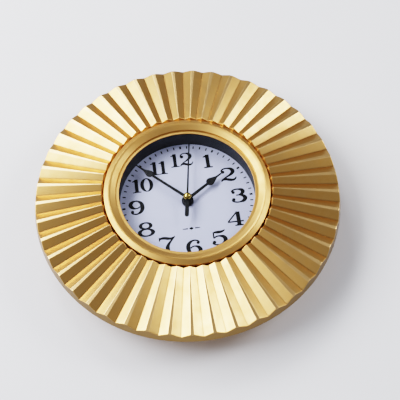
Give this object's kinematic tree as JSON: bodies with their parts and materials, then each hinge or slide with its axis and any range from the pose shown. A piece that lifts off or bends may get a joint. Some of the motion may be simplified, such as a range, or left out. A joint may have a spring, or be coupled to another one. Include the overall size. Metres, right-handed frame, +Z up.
{
  "type": "sunburst wall clock",
  "caption": "Round wall clock with a pleated sunburst frame, raised bezel, flat lens, numeral dial, three hands and a quartz movement on a rear pan.",
  "frame": {"origin": "centre of the hanger eye, in the plane of the wall", "axes": "+Z up towards twelve o'clock, +X towards three o'clock, -Y out of the wall, the way the dial faces"},
  "size_m": [0.25, 0.0416, 0.25],
  "materials": {
    "gold_frame": "moulded plastic sprayed satin gold",
    "gold_bezel": "moulded plastic sprayed satin gold",
    "clear_lens": "clear flat lens",
    "black_satin": "black moulded ring",
    "dial_white": "printed sheet aluminium, pale bluish white",
    "black_plastic": "black moulded plastic, fine texture",
    "zinc_steel": "bright zinc plate",
    "black_rubber": "soft rubber",
    "black_enamel": "stamped sheet aluminium, semi-gloss black",
    "brass": "polished brass",
    "battery_wrap": null,
    "nickel_spring": "nickel-plated spring strip",
    "board_green": "solder mask over laminate",
    "chip_resin": "black resin drop",
    "nickel_can": "drawn nickel can",
    "ivory_plastic": "natural acetal",
    "copper_wire": "enamelled copper wire",
    "soft_iron": "annealed soft iron sheet",
    "ferrite": "sintered magnet"
  },
  "bodies": {
    "clock": {"sunburst_frame": "gold_frame", "bezel_ring": "gold_bezel", "lens": "clear_lens", "spacer_ring": "black_satin", "dial_plate": "dial_white", "rear_pan": "black_plastic", "pan_screws": "zinc_steel", "movement_case": "black_plastic", "movement_cover": "black_plastic", "rubber_washer": "black_rubber", "post_nut": "black_enamel", "battery": "battery_wrap", "positive_contact": "nickel_spring", "negative_contact": "nickel_spring", "circuit_board": "board_green", "timing_chip": "chip_resin", "quartz_crystal": "nickel_can", "coil_bobbin": "ivory_plastic", "coil_winding": "copper_wire", "coil_core": "soft_iron", "motor_stator": "soft_iron"},
    "seconds": {"second_hand": "black_enamel", "hand_cap": "brass", "seconds_wheel": "ivory_plastic"},
    "step": {"step_wheel": "ivory_plastic"},
    "rotor": {"rotor_magnet": "ferrite", "rotor_pinion": "ivory_plastic"},
    "third": {"third_wheel": "ivory_plastic"},
    "centre": {"centre_wheel": "ivory_plastic"},
    "minutes": {"minute_hand": "black_enamel", "minute_tube": "brass"},
    "motion": {"motion_wheel": "ivory_plastic"},
    "hours": {"hour_hand": "black_enamel", "hour_wheel": "black_plastic"},
    "knob": {"set_knob": "ivory_plastic"}
  },
  "joints": [
    {"name": "second_spin", "type": "hinge", "parent": "clock", "child": "seconds", "pos_m": [0, -0.01, -0.034], "axis": [0, 1, 0], "continuous": true},
    {"name": "step_spin", "type": "hinge", "parent": "clock", "child": "step", "pos_m": [0.00643, -0.01, -0.0286], "axis": [0, 1, 0], "continuous": true},
    {"name": "rotor_spin", "type": "hinge", "parent": "clock", "child": "rotor", "pos_m": [0.01348, -0.01, -0.02604], "axis": [0, 1, 0], "continuous": true},
    {"name": "third_spin", "type": "hinge", "parent": "clock", "child": "third", "pos_m": [-0.00736, -0.01, -0.02975], "axis": [0, 1, 0], "continuous": true},
    {"name": "centre_spin", "type": "hinge", "parent": "clock", "child": "centre", "pos_m": [0, -0.01, -0.034], "axis": [0, 1, 0], "continuous": true},
    {"name": "minute_spin", "type": "hinge", "parent": "clock", "child": "minutes", "pos_m": [0, -0.01, -0.034], "axis": [0, 1, 0], "continuous": true},
    {"name": "motion_spin", "type": "hinge", "parent": "clock", "child": "motion", "pos_m": [-0.00783, -0.01, -0.03765], "axis": [0, 1, 0], "continuous": true},
    {"name": "hour_spin", "type": "hinge", "parent": "clock", "child": "hours", "pos_m": [0, -0.01, -0.034], "axis": [0, 1, 0], "continuous": true},
    {"name": "knob_spin", "type": "hinge", "parent": "clock", "child": "knob", "pos_m": [-0.01647, -0.01, -0.03765], "axis": [0, 1, 0], "continuous": true}
  ],
  "couplings": [
    {"joint": "step_spin", "follows": "second_spin", "ratio": -5},
    {"joint": "rotor_spin", "follows": "second_spin", "ratio": 30},
    {"joint": "third_spin", "follows": "second_spin", "ratio": -0.13333},
    {"joint": "centre_spin", "follows": "second_spin", "ratio": 0.016667},
    {"joint": "motion_spin", "follows": "minute_spin", "ratio": -0.33333},
    {"joint": "hour_spin", "follows": "minute_spin", "ratio": 0.083333},
    {"joint": "knob_spin", "follows": "minute_spin", "ratio": 1}
  ]
}
